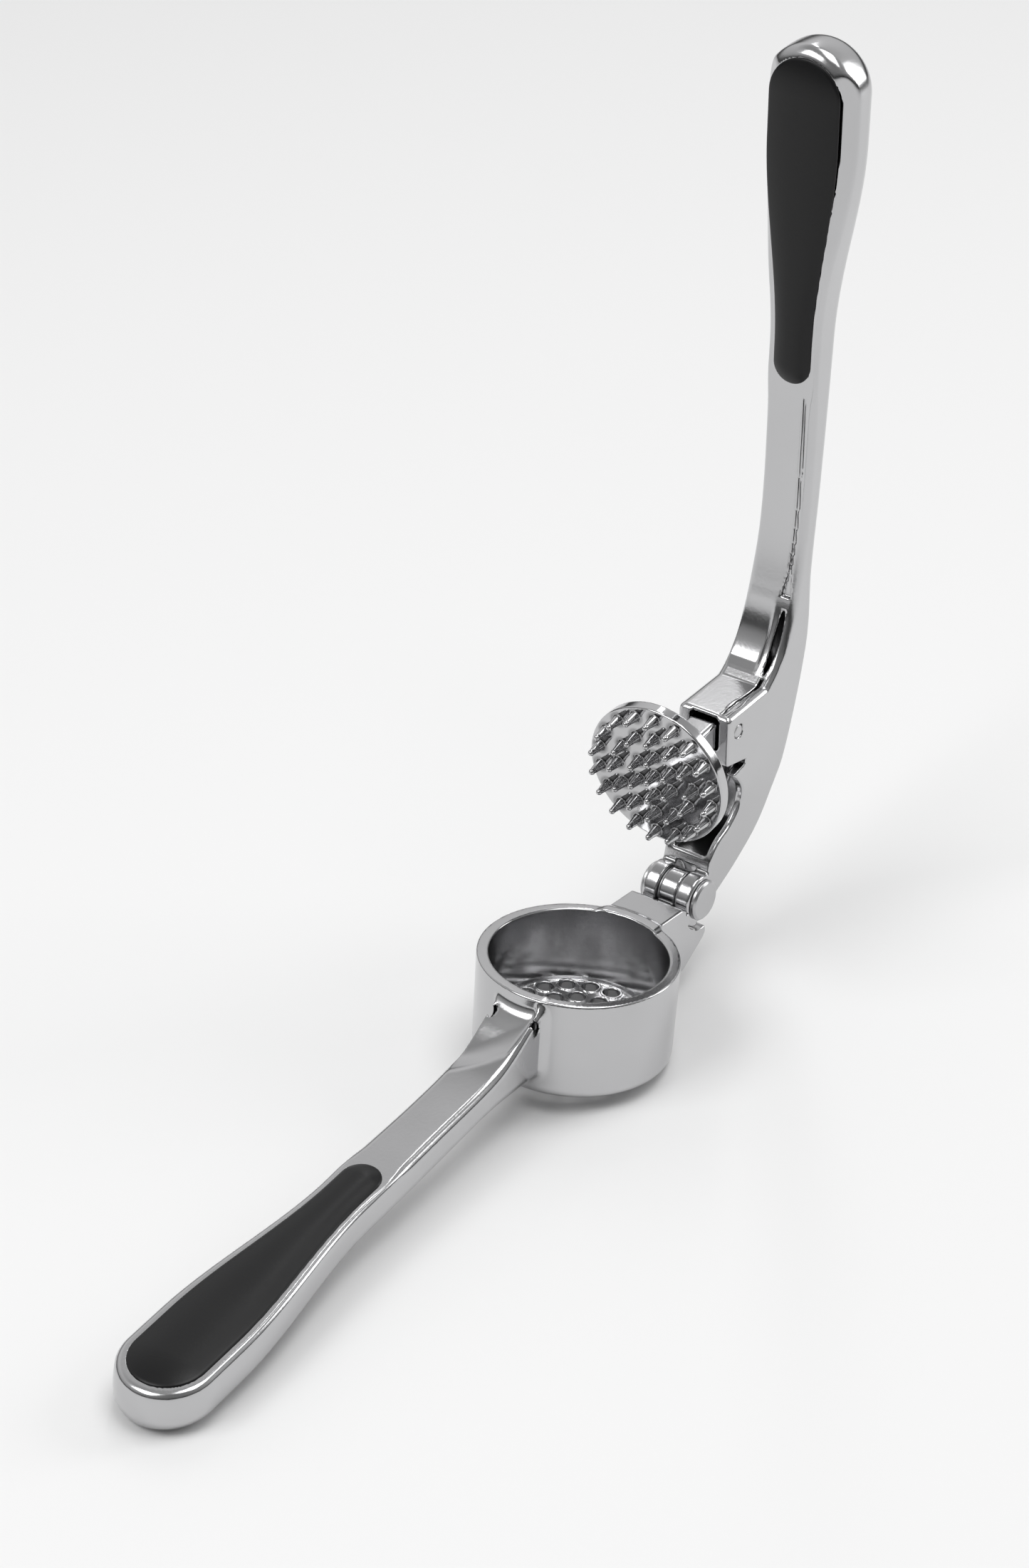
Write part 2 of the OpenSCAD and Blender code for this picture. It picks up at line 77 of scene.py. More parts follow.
def cupFrame():
    return Matrix.Translation(baseAt) @ Matrix.Rotation(tilt, 4, "Y") @ Matrix.Scale(mm, 4)


def pressFrame(at, extra=0):
    lean = math.radians(handle["openLean"] + extra) - tilt
    return Matrix.Translation(at) @ Matrix.Rotation(-lean, 4, "Y") @ Matrix.Scale(mm, 4)


# Shaping with distances
# A form is a function of x, y, z that is negative inside the metal.
def roundMax(a, b, r):          # what both hold, with its edge rounded to r
    return np.minimum(np.maximum(a, b), -r) + np.hypot(np.maximum(a + r, 0), np.maximum(b + r, 0))


def roundMin(a, b, r):          # both together, with a fillet of r between them
    return -roundMax(-a, -b, r)


def bevelMax(a, b, leg, r):     # what both hold, rounded to r and with its edge planed off by leg
    return roundMax(roundMax(a, b, r), (a + b + leg) * bevelLean, 0.45)


def smooth(t):
    t = np.clip(t, 0, 1)
    return t * t * (3 - 2 * t)


def rise(value, start, length):     # from 0 at the start to 1 after the length
    return smooth((value - start) / length)


def spline(points, steps=24):   # a smooth line through a few chosen points
    p = np.array([points[0]] + list(points) + [points[-1]], float)
    t = np.linspace(0, 1, steps, endpoint=False)[:, None]
    rows = []
    for a, b, c, d in zip(p, p[1:], p[2:], p[3:]):
        rows.append((2 * b + (c - a) * t + (2 * a - 5 * b + 4 * c - d) * t ** 2
                     + (3 * b - a - 3 * c + d) * t ** 3) / 2)
    return np.vstack(rows + [p[-1:]])


class Outline:                  # distance to a closed flat outline, kept on a fine grid
    def __init__(self, points, cell=0.2, margin=6):
        p = np.array(points, float)
        self.low = p.min(0) - margin
        self.cell = cell
        n = np.ceil((p.max(0) + margin - self.low) / cell).astype(int) + 1
        x, y = np.meshgrid(self.low[0] + cell * np.arange(n[0]), self.low[1] + cell * np.arange(n[1]),
                           indexing="ij")
        best = np.full(x.shape, 1e9)
        inside = np.zeros(x.shape, bool)
        for a, b in zip(p, np.roll(p, -1, axis=0)):
            e = b - a
            wx, wy = x - a[0], y - a[1]
            t = np.clip((wx * e[0] + wy * e[1]) / (e @ e + 1e-12), 0, 1)
            best = np.minimum(best, (wx - e[0] * t) ** 2 + (wy - e[1] * t) ** 2)
            if a[1] != b[1]:
                crosses = (a[1] > y) != (b[1] > y)
                inside ^= crosses & (x < e[0] * (y - a[1]) / (b[1] - a[1]) + a[0])
        self.grid = np.where(inside, -1, 1) * np.sqrt(best)

    def __call__(self, x, y):
        x, y = np.broadcast_arrays(x, y)
        i = np.clip((x - self.low[0]) / self.cell, 0, self.grid.shape[0] - 1.001)
        j = np.clip((y - self.low[1]) / self.cell, 0, self.grid.shape[1] - 1.001)
        a, b = i.astype(int), j.astype(int)
        s, t = i - a, j - b
        g = self.grid
        return ((g[a, b] * (1 - s) + g[a + 1, b] * s) * (1 - t)
                + (g[a, b + 1] * (1 - s) + g[a + 1, b + 1] * s) * t)


def skinOf(form, low, high, cell):      # one closed quad mesh on the surface of a form
    axes = [np.arange(a, b + cell, cell) for a, b in zip(low, high)]
    shape = [len(a) for a in axes]
    values = np.empty(shape, np.float32)
    for i in range(0, shape[0], 24):
        x = axes[0][i:i + 24, None, None]
        values[i:i + 24] = np.broadcast_to(form(x, axes[1][None, :, None], axes[2][None, None, :]),
                                           (x.shape[0], shape[1], shape[2]))
    inside = values < 0
    corners = [(a, b, c) for a in (0, 1) for b in (0, 1) for c in (0, 1)]
    count = sum(inside[a:shape[0] - 1 + a, b:shape[1] - 1 + b, c:shape[2] - 1 + c].astype(np.int8)
                for a, b, c in corners)
    cells = np.argwhere((count > 0) & (count < 8))
    index = np.full([n - 1 for n in shape], -1)
    index[tuple(cells.T)] = np.arange(len(cells))
    quads = []
    planes = np.zeros((len(cells), 13))     # sums over the crossings round each cell
    for axis in range(3):
        o1, o2 = [k for k in range(3) if k != axis]
        nearSide = [slice(1, -1)] * 3
        nearSide[axis] = slice(0, -1)
        farSide = list(nearSide)
        farSide[axis] = slice(1, None)
        near, far = inside[tuple(nearSide)], inside[tuple(farSide)]
        edges = np.argwhere(near != far)
        leaving = near[tuple(edges.T)]
        start = edges.copy()
        start[:, o1] += 1
        start[:, o2] += 1
        ring = []
        for d1, d2 in ((0, 0), (1, 0), (1, 1), (0, 1)):
            at = start.copy()
            at[:, o1] -= 1 - d1
            at[:, o2] -= 1 - d2
            ring.append(index[tuple(at.T)])
        quad = np.stack(ring, 1)
        flip = leaving if axis != 1 else ~leaving
        quad[~flip] = quad[~flip][:, ::-1]
        quads.append(quad)
        a = values[tuple(nearSide)][tuple(edges.T)].astype(float)
        b = values[tuple(farSide)][tuple(edges.T)].astype(float)
        crossing = start.astype(float)
        crossing[:, axis] += a / (a - b)
        crossing = np.array(low) + cell * crossing
        slope = slopeAt(form, crossing, cell * 0.1)[1]
        slope /= np.maximum(np.linalg.norm(slope, axis=1), 1e-6)[:, None]
        x, y, z = slope.T
        level = (slope * crossing).sum(1)
        terms = [x * x, y * y, z * z, x * y, x * z, y * z, x * level, y * level, z * level, *crossing.T,
                 np.ones(len(x))]
        for owner in ring:
            for k, term in enumerate(terms):
                planes[:, k] += np.bincount(owner, term, len(cells))
    quads = np.vstack(quads)
    # each point goes where the planes through its crossings meet, so edges come out straight
    middle = planes[:, 9:12] / planes[:, 12:]
    pull = 0.03 * planes[:, 12]
    sides = planes[:, [0, 3, 4, 3, 1, 5, 4, 5, 2]].reshape(-1, 3, 3) + pull[:, None, None] * np.eye(3)
    points = np.linalg.solve(sides, (planes[:, 6:9] + pull[:, None] * middle)[:, :, None])[:, :, 0]
    corner = np.array(low) + cell * cells
    points = np.clip(points, corner - 0.2 * cell, corner + 1.2 * cell)
    start = points.copy()
    for step in range(4):               # settle every point on the true surface
        value, slope = slopeAt(form, points, cell * 0.2)
        points -= slope * (value / np.maximum((slope ** 2).sum(1), 0.2))[:, None]
        points = start + np.clip(points - start, -cell, cell)
    slope = slopeAt(form, points, cell * 0.3)[1]
    return points, quads, slope / np.linalg.norm(slope, axis=1)[:, None]


def slopeAt(form, p, step):
    value = form(p[:, 0], p[:, 1], p[:, 2])
    slope = np.empty_like(p)
    for k in range(3):
        d = np.zeros(3)
        d[k] = step
        a, b = p + d, p - d
        slope[:, k] = (form(a[:, 0], a[:, 1], a[:, 2]) - form(b[:, 0], b[:, 1], b[:, 2])) / (2 * step)
    return value, slope


def meshPiece(name, points, faces, place, normals=None):
    mesh = bpy.data.meshes.new(name)
    placed = np.array(points) @ np.array(place.to_3x3()).T + np.array(place.translation)
    mesh.from_pydata(placed.tolist(), [], [list(map(int, f)) for f in faces])
    mesh.validate()
    mesh.polygons.foreach_set("use_smooth", [True] * len(mesh.polygons))
    if normals is not None:
        turn = np.array(place.to_3x3()) / mm
        mesh.normals_split_custom_set_from_vertices((normals @ turn.T).tolist())
    piece = bpy.data.objects.new(name, mesh)
    bpy.context.scene.collection.objects.link(piece)
    return piece


recess = dict(reach=1.5, open=0.85, span=0.7)     # mm out from the surface, and shares of that


def castPiece(name, form, low, high, cell, place):
    points, quads, normals = skinOf(form, low, high, cell)
    piece = meshPiece(name, points, quads, place, normals)
    # how closed in each point is, which sets the painted shade that darkens corners and recesses
    opening = form(*(points + normals * recess["reach"]).T) / recess["reach"]
    paintedShade = np.clip((recess["open"] - opening) / recess["span"], 0, 1)
    stored = piece.data.attributes.new("closedIn", "FLOAT", "POINT")
    stored.data.foreach_set("value", paintedShade.astype(np.float32))
    print(name, "cast with", len(quads), "faces")
    return piece


def claim(piece, body, slot, finish, *nodes):
    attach(piece, body)
    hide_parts(*nodes)
    piece.data.materials.clear()
    piece.data.materials.append(finish)


# Shapes shared by both handles
def inlayHalf(s):
    return handle["r0"] + (handle["r1"] - handle["r0"]) * smooth((s / handle["inlayLen"] - 0.08) / 0.75)


def inlayPlan(s, y, grow=0.0):      # distance to the inlay's outline, narrow end at s = 0
    length = handle["inlayLen"]
    side = np.abs(y) - inlayHalf(s) - grow
    start = np.hypot(s, y) - handle["r0"] - grow
    end = np.hypot(s - length, y) - handle["r1"] - grow
    return np.where(s < 0, start, np.where(s > length, end, side))


def handlePlan(s, y, neck):         # distance to the handle's outline, straight before the inlay
    width = inlayHalf(np.maximum(s, 0)) + handle["rim"]
    side = np.abs(y) - np.where(s < 0, neck, width)
    end = np.hypot(s - handle["inlayLen"], y) - handle["r1"] - handle["rim"]
    return np.where(s > handle["inlayLen"], end, side)


def seatCut(s, y, depth):           # the inlay's pocket, depth measured down from the face
    return roundMax(inlayPlan(s, y, -0.45), depth - handle["seat"], 0.3)


def swelling(s, depth, thick):      # how far a handle's sides bulge past its plan near the wide end
    middle = 1 - ((depth - thick * 0.45) / (thick * 0.55)) ** 2
    return handle["swell"] * smooth(s / handle["inlayLen"]) * np.maximum(middle, 0)


# Lower casting
# Its profiles are (distance from the cup's axis, height) pairs.
lowerShape = dict(
    face=[(19.0, 22.2), (22.0, 20.6), (25.5, 18.2), (29.5, 15.3), (34.0, 12.7), (39.5, 10.9), (50.0, 8.75),
          (73.8, 4.62), (145.0, -7.42)],
    under=[(19.3, 4.2), (27.3, 4.0), (38.3, 3.1), (52.0, 0.3), (73.8, -3.58)],
    root=12, neckHalf=5.75, neckGain=0.3, faceEdge=0.4, faceEdgeGain=0.7, bevel=1.05, bevelLoss=1.6,
    underEdge=3.0, underEdgeGain=1.4, cupFillet=1.6)
hollow = dict(depth=1.9, lift=0.7, end=37, length=11, skew=0.9, side=1.1, floorEdge=1.4, lip=0.3)
pocket = dict(d=23.1, y=5.0, z=17.2, halfD=1.5, halfY=0.75, halfZ=2.0, edge=0.25)
bracket = dict(half=6.7, edge=0.4, fillet=1.4, cutFrom=16.5, stopLow=28, stopHigh=1, stopGap=0.3,
               cutEdge=0.3, knuckleEdge=0.3, knuckleFillet=0.5)
lowerFace = spline(lowerShape["face"])
lowerUnder = spline(lowerShape["under"])
bracketOutline = Outline([(17, 22.6), (29.6, 22.6), (33.3, 20.6), (37.9, 20.6), (39.3, 14.75), (39.7, 13.4),
                          (38.9, 12.1), (32.8, 7.6), (26.0, 3.9), (17, 2.2)])
lean = math.cos(math.radians(handle["slope"]))          # turns heights into distances from the face


def lowerBar(d, y, z, s, face):
    b = lowerShape
    ending = rise(s, 0, handle["inlayLen"])
    byInlay = rise(s, -10, 16)
    depth = handle["barT"] + (handle["lowerBulb"] - handle["barT"]) * ending
    under = np.where(s < 0, np.interp(d, lowerUnder[:, 0], lowerUnder[:, 1]), face - depth)
    neck = b["neckHalf"] + b["neckGain"] * rise(d, 50, 20)
    plan = handlePlan(s, y, neck) - swelling(s, face - z, depth)
    bar = roundMax(plan, (under - z) * lean, b["underEdge"] + b["underEdgeGain"] * ending)
    bar = bevelMax(bar, (z - face) * lean, b["bevel"] * (1 - b["bevelLoss"] * byInlay),
                   b["faceEdge"] + b["faceEdgeGain"] * byInlay)
    bar = np.maximum(bar, b["root"] - d)
    # a dished hollow where the handle climbs to the cup, with a slanting crease at its end
    h = hollow
    slant = d - h["skew"] * y
    dip = h["depth"] * rise(-slant, -h["end"], h["length"]) - h["lift"] * rise(slant, 33, 6)
    cut = roundMax(np.abs(y - h["side"]) - neck - 0.1, face - dip - z, h["floorEdge"])
    return roundMax(bar, -cut, h["lip"])


def earRoom(x, y, z):               # the space that the ears turn in, less the stop for their heel
    b = bracket
    px, pz = x - hinge["x"], z - hinge["z"]
    fromHinge = np.hypot(px, pz)
    room = roundMax(fromHinge - hinge["reliefR"], hinge["knuckleHalf"] - np.abs(y), b["cutEdge"])
    room = np.maximum(room, b["cutFrom"] - x)
    ahead = math.radians(hinge["stopAngle"] - b["stopHigh"])
    behind = math.radians(hinge["stopAngle"] - b["stopLow"])
    stop = np.maximum(pz * math.cos(ahead) - px * math.sin(ahead),
                      px * math.sin(behind) - pz * math.cos(behind))
    return np.maximum(room, -np.maximum(stop, hinge["earR"] + b["stopGap"] - fromHinge))


def lowerForm(x, y, z):
    rho = np.hypot(x, y)
    height = cup["height"]
    wall = rho - (cupR - cup["draft"] * (1 - z / height))
    body = roundMax(roundMax(wall, z - height, cup["rimRound"]), -z, cup["edgeR"])
    d = -x
    s = (d - handle["lowerX"]) / lean
    face = np.interp(d, lowerFace[:, 0], lowerFace[:, 1])
    fillet = lowerShape["cupFillet"] * rise(-d, -60, 20) + 0.01
    body = roundMin(body, lowerBar(d, y, z, s, face), fillet)
    p = pocket
    dent = np.sqrt(((d - p["d"]) / p["halfD"]) ** 2 + ((np.abs(y) - p["y"]) / p["halfY"]) ** 2
                   + ((z - p["z"]) / p["halfZ"]) ** 2) - 1
    body = roundMax(body, -dent * p["halfY"], p["edge"])
    # the bracket and the knuckle
    b = bracket
    body = roundMin(body, roundMax(bracketOutline(x, z), np.abs(y) - b["half"], b["edge"]), b["fillet"])
    body = roundMax(body, -earRoom(x, y, z), b["cutEdge"])
    fromHinge = np.hypot(x - hinge["x"], z - hinge["z"])
    knuckle = roundMax(fromHinge - hinge["knuckleR"], np.abs(y) - hinge["knuckleHalf"], b["knuckleEdge"])
    body = roundMin(body, knuckle, b["knuckleFillet"])
    body = roundMax(body, hinge["pinR"] - fromHinge, boreEdge)
    # the bore, the sieve's seat and the outlet
    bore = rho - (seatR + cup["taper"] * (z - cup["sieveZ"]) / (height - cup["sieveZ"]))
    seat = np.maximum(rho - seatR, bore)
    inside = np.maximum(np.where(z > cup["sieveZ"], bore, seat), cup["ledgeZ"] - z)
    body = roundMax(body, -inside, cup["mouthEdge"])
    body = roundMax(body, cup["ledgeR"] - rho, cup["outletEdge"])
    return roundMax(body, -seatCut(s, y, (face - z) * lean), seatEdge)


# Upper casting
# u runs along the handle from the hinge, v out of the face that carries the inlay.
pinU, pinV = 36.31, -11.96          # the plunger's pin
bossFront = pinV + 4.1
bossLow = pinU - 8.2
bossHigh = pinU + 5
arm = dict(edge=0.6, bossGain=0.9, inlayGain=0.55, tipGain=1.4, backGain=2.4, backEndGain=2.2, flare=0.45,
           barGain=0.15, lip=1.0, lipLoss=1.6, lipEdge=0.4, earFillet=0.6)
ears = dict(heelArc=45, heelEdge=0.4, fillet=0.3, room=1.4, pinGap=0.08)
channel = dict(web=2.6, half=4.2, corner=1.2, start=8, stop=1.5, end=1.0, lip=0.5)
notch = dict(up=0.9, half=0.5, flare=0.22, floor=-15.2, reach=8, inner=3.4, corner=0.3, lip=0.4)
socket = dict(half=4.0, side=3.7, corner=1.1, depth=3.8, floorEdge=0.4, top=5, lip=0.35, pinHole=1.62)
ribSlot = dict(u=bossHigh + 7.6, halfU=6.4, cut=6.2, y=3.75, half=0.85, depth=5, lip=0.12)
dish = dict(depth=0.8, lip=0.1)
groove = dict(y=3.5, half=0.34, widening=0.8, depth=0.5, deepening=0.6, start=bossHigh + 16.5,
              end=handle["upperU"] - 7, lip=0.1)
shoulder = dict(y=4.0, half=0.35, widening=0.5, start=bossHigh - 0.9, drop=1.2, end=-24.5, lip=0.3)
outerLine = spline([(-2.2, -5.0), (2.6, -14.6), (8.6, -23.0), (18, -29.6), (30, -34.4), (44, -38.2),
                    (60, -40.9), (80, -43.4), (110.2, -45.5), (130, -46.9), (150, -49.0), (168.6, -49.7),
                    (186, -49.7)])
innerLine = spline([(bossHigh, bossFront - 15), (bossHigh + 3.5, bossFront - 19.2),
                    (bossHigh + 9.5, bossFront - 22.8), (bossHigh + 18, bossFront - 25.6),
                    (bossHigh + 36, -36.4), (110.2, -37.3), (150, -37.3), (186, -37.3)])
throatLine = spline([(4.6, -2.6), (8.6, -3.8), (11.2, -6.6), (13, -10.6), (16, -13.8), (20, -14.6),
                     (23.6, -12.6), (bossLow, bossFront)])
armOutline = Outline(np.vstack([outerLine, innerLine[::-1], [(bossHigh - 0.3, bossFront - 0.9),
                     (bossHigh - 0.9, bossFront)], throatLine[::-1]]))
backOutline = Outline(np.vstack([outerLine, [(186, 40), (-2.2, 40)]]), cell=0.3)


def armBar(u, y, v, s, face):       # side plates, boss and handle before anything is cut away
    a = arm
    side = roundMin(armOutline(u, v), np.hypot(u, v) - hinge["earR"], a["earFillet"])
    back = np.interp(u, outerLine[:, 0], outerLine[:, 1])
    onBar = rise(u, 44, 20)
    half = (hinge["earOut"] + a["flare"] * rise(u, 12, 9) * rise(-u, -72, 22)
            + a["barGain"] * rise(u, 80, 28))
    plan = handlePlan(s, y, half) - swelling(s, face - v, face - back)
    onBoss = rise(u, bossLow - 3, 4) * (1 - onBar) * rise(u, bossHigh - 2, 2)
    faceEdge = (a["edge"] + a["bossGain"] * onBoss + a["inlayGain"] * rise(s, -10, 16)
                + a["tipGain"] * rise(s, handle["inlayLen"] * 0.75, 20))
    backEdge = a["edge"] + a["backGain"] * onBar + a["backEndGain"] * rise(s, 0, handle["inlayLen"])
    body = roundMax(side, plan, np.where(v > (back + face) / 2, faceEdge, backEdge))
    lip = a["lip"] * rise(u, bossHigh, 6) * (1 - a["lipLoss"] * rise(s, -12, 18))
    planed = (np.abs(y) - half + v - face + lip) * bevelLean
    return roundMax(body, np.where(u > bossHigh + 0.5, planed, body - 1), a["lipEdge"])


def earsCut(body, u, y, v):         # the heel under the ears, and their slot round the knuckle
    e = ears
    fromHinge = np.hypot(u, v)
    low = math.radians(hinge["stopAngle"] - handle["openLean"])
    high = math.radians(hinge["stopAngle"] + e["heelArc"] - handle["openLean"])
    wedge = np.maximum(u * math.sin(low) - v * math.cos(low), v * math.cos(high) - u * math.sin(high))
    heel = roundMax(fromHinge - hinge["heelR"], wedge, e["heelEdge"])
    heel = roundMax(heel, np.abs(y) - hinge["earOut"], e["heelEdge"])
    body = roundMin(body, heel, e["fillet"])
    slot = roundMax(fromHinge - hinge["knuckleR"] - e["room"], np.abs(y) - hinge["earIn"], e["fillet"])
    body = roundMax(body, -slot, e["fillet"])
    c = channel
    hole = roundMax(backOutline(u, v) + c["web"], np.abs(y) - c["half"], c["corner"])
    hole = roundMax(hole, np.maximum(c["start"] - u, u - bossLow + c["stop"]), c["end"])
    return roundMax(body, -hole, c["lip"])


def bossCut(body, u, y, v):         # the notch under the boss, and the plunger's socket and pin hole
    n = notch
    gap = np.abs(u - bossLow + n["up"]) - n["half"] - n["flare"] * np.clip(v - n["floor"], 0, n["reach"])
    gap = roundMax(np.maximum(gap, n["floor"] - v), n["inner"] - np.abs(y), n["corner"])
    body = roundMax(body, -gap, n["lip"])
    k = socket
    hole = roundMax(np.abs(u - pinU) - k["half"], np.abs(y) - k["side"], k["corner"])
    hole = roundMax(hole, pinV - k["depth"] - v, k["floorEdge"])
    body = roundMax(body, -np.maximum(hole, v - k["top"]), k["lip"])
    return roundMax(body, k["pinHole"] - np.hypot(u - pinU, v - pinV), boreEdge)


def ribCut(body, u, y, v, face):    # slot, dish and grooves along the side that faces -Y
    depth = face - v
    r = ribSlot
    wide = r["half"] * np.sqrt(np.clip(1 - ((u - r["u"]) / r["halfU"]) ** 2, 0, 1))
    slot = np.maximum(np.abs(y + r["y"]) - wide, depth - r["depth"])
    body = roundMax(body, -np.maximum(slot, np.abs(u - r["u"]) - r["cut"]), r["lip"])
    dip = rise(u, bossHigh + 1.2, 1.6) * rise(-u, -bossHigh - 17, 10) * rise(y, -2.0, 1.2)
    body = roundMax(body, np.where(dip > 0.001, dish["depth"] * dip - depth, body), dish["lip"])
    g = groove
    extra = g["widening"] * rise(-u, -bossHigh - 23, 6)
    line = np.maximum(np.abs(y + g["y"]) - g["half"] - extra, depth - g["depth"] - g["deepening"] * extra)
    line = np.maximum(line, np.maximum(g["start"] - u, u - g["end"]))
    body = roundMax(body, -line, g["lip"])
    h = shoulder
    step = np.abs(y + h["y"]) - h["half"] - h["widening"] * rise(-v, 8, 6) * rise(v, -20, 6)
    step = np.maximum(np.maximum(step, h["start"] - u), np.maximum(v - bossFront + h["drop"], h["end"] - v))
    return roundMax(body, -step, h["lip"])


def upperForm(u, y, v):
    s = u - handle["upperU"]
    face = np.interp(u, innerLine[:, 0], innerLine[:, 1])
    body = armBar(u, y, v, s, face)
    body = earsCut(body, u, y, v)
    body = bossCut(body, u, y, v)
    body = roundMax(body, hinge["pinR"] + ears["pinGap"] - np.hypot(u, v), boreEdge)
    body = ribCut(body, u, y, v, face)
    return roundMax(body, -seatCut(s, y, -handle["offset"] - v), seatEdge)


# Plunger and sieve
def nearestPlace(x, y):             # distance to the nearest peg's or hole's axis, in rings of 1, 6, 12, 18
    pitch = plungerSize["pitch"]
    ring = np.clip(np.round(np.hypot(x, y) / pitch), 0, plungerSize["rings"])
    n = np.maximum(ring * 6, 1)
    a = np.round(np.arctan2(y, x) / (2 * math.pi) * n) / n * 2 * math.pi
    return np.hypot(x - ring * pitch * np.cos(a), y - ring * pitch * np.sin(a))


def plungerForm(x, y, z):
    p = plungerSize
    top = z - p["reach"]
    disc = roundMax(np.hypot(x, y) - p["discR"], np.abs(top + p["discT"] / 2) - p["discT"] / 2, p["discEdge"])
    near = nearestPlace(x, y)
    cone = near - (p["pegR"] + (p["tipR"] - p["pegR"]) * np.clip(top / p["coneLen"], 0, 1))
    cone = np.maximum(cone, np.maximum(top - (p["pegLen"] - p["tipR"]), -1 - top))
    ballR = p["tipR"] + 0.08            # a little wider than the cone's end
    tip = np.hypot(near, top - p["pegLen"] + ballR) - ballR
    body = roundMin(disc, roundMin(cone, tip, p["pegFillet"]), p["pegFillet"])
    stem = roundMax(np.abs(x) - p["stemR"], np.abs(y) - p["stemHalf"], p["stemEdge"])
    stem = np.maximum(stem, np.where(z < 0, np.hypot(x, z) - p["stemR"], stem))
    stem = np.maximum(stem, z - p["reach"] + 1)
    body = roundMin(body, stem, p["stemEdge"])
    return roundMax(body, p["pinR"] + p["pinGap"] - np.hypot(x, z), boreEdge)


def sieveForm(x, y, z):             # raised lips round the holes and a raised ring round the plate
    k = sieveShape
    rho = np.hypot(x, y)
    top = z - cup["sieveZ"] + k["drop"]
    half = k["thick"] / 2
    plate = roundMax(rho - seatR + k["gap"], np.abs(top + half) - half, k["edge"])
    near = nearestPlace(x, y)
    lip = np.hypot(near - plungerSize["holeR"] - k["lipOut"], top) - k["lipR"]
    rim = np.hypot(rho - seatR + k["rimIn"], top) - k["rimR"]
    plate = roundMin(plate, np.minimum(lip, rim), k["fillet"])
    return roundMax(plate, plungerSize["holeR"] - near, k["fillet"])


# Turned hardware
def turned(name, profile, place, segments=96):      # profile is (radius, height) pairs, from axis to axis
    points, faces = [], []
    for r, h in profile:
        for k in range(segments):
            a = 2 * math.pi * k / segments
            points.append((r * math.cos(a), r * math.sin(a), h))
    rows = len(profile)
    for i in range(rows - 1):
        for k in range(segments):
            a, b = i * segments + k, i * segments + (k + 1) % segments
            faces.append((a, b, b + segments, a + segments))
    if profile[0] != profile[-1]:
        faces.append(list(range(segments))[::-1])
        faces.append([(rows - 1) * segments + k for k in range(segments)])
    piece = meshPiece(name, points, faces, place)
    bevelled(piece)
    return piece


def bevelled(piece, width=0.00012):
    bevel = piece.modifiers.new("edge", "BEVEL")
    bevel.width = width
    bevel.segments = 3
    bevel.limit_method = "ANGLE"
    bevel.angle_limit = math.radians(25)
    bevel.harden_normals = True
    with bpy.context.temp_override(object=piece, active_object=piece, selected_objects=[piece]):
        bpy.ops.object.modifier_apply(modifier=bevel.name)


# Inlays
def inlayOutline():
    pts = []
    for a in np.radians(np.arange(90, 270, 7.5)):
        pts.append((handle["r0"] * math.cos(a), handle["r0"] * math.sin(a)))
    for s in np.linspace(0, handle["inlayLen"], 41)[:-1]:
        pts.append((s, -inlayHalf(s)))
    for a in np.radians(np.arange(-90, 90, 5)):
        pts.append((handle["inlayLen"] + handle["r1"] * math.cos(a), handle["r1"] * math.sin(a)))
    for s in np.linspace(handle["inlayLen"], 0, 41)[:-1]:
        pts.append((s, inlayHalf(s)))
    return np.array(pts, float)


def inlayPiece(name, place):
    outline = inlayOutline()
    spine = np.clip(outline[:, 0], 0, handle["inlayLen"])
    rings = [(0.88, 0.1 - handle["seat"]), (0.88, -0.08), (1.0, -0.08), (1.0, 0.05), (0.992, 0.16)]
    edgeHeight = 0.2                     # height of the inlay's edge, from which its crown rises
    for share in np.linspace(0.98, 0, 17):
        rings.append((share, edgeHeight + (handle["crown"] - edgeHeight) * (1 - share ** 2.3)))
    points, faces = [], []
    n = len(outline)
    for share, height in rings:
        ring = np.stack([spine + (outline[:, 0] - spine) * share, outline[:, 1] * share,
                         np.full(n, height)], 1)
        points.append(ring)
    points = np.vstack(points)
    for i in range(len(rings) - 1):
        for k in range(n):
            a, b = i * n + k, i * n + (k + 1) % n
            faces.append((a, b, b + n, a + n))
    faces.append(list(range(n))[::-1])
    piece = meshPiece(name, points, faces, place)
    bm = bmesh.new()
    bm.from_mesh(piece.data)
    bmesh.ops.remove_doubles(bm, verts=bm.verts, dist=1e-6)
    bmesh.ops.recalc_face_normals(bm, faces=bm.faces)
    bm.to_mesh(piece.data)
    bm.free()
    return piece


# Finishes
class Sock:                         # a shader socket that takes part in arithmetic
    def __init__(self, tree, socket):
        self.tree, self.socket = tree, socket

    def mathWith(self, kind, other, swapped=False):
        values = (other, self) if swapped else (self, other)
        return self.tree.node("ShaderNodeMath", {"operation": kind}, {0: values[0], 1: values[1]})

    def __add__(self, other):
        return self.mathWith("ADD", other)

    def __radd__(self, other):
        return self.mathWith("ADD", other, True)

    def __sub__(self, other):
        return self.mathWith("SUBTRACT", other)

    def __rsub__(self, other):
        return self.mathWith("SUBTRACT", other, True)

    def __mul__(self, other):
        return self.mathWith("MULTIPLY", other)

    def __rmul__(self, other):
        return self.mathWith("MULTIPLY", other, True)

    def __truediv__(self, other):
        return self.mathWith("DIVIDE", other)

    def __rtruediv__(self, other):
        return self.mathWith("DIVIDE", other, True)

    def __pow__(self, other):
        return self.mathWith("POWER", other)


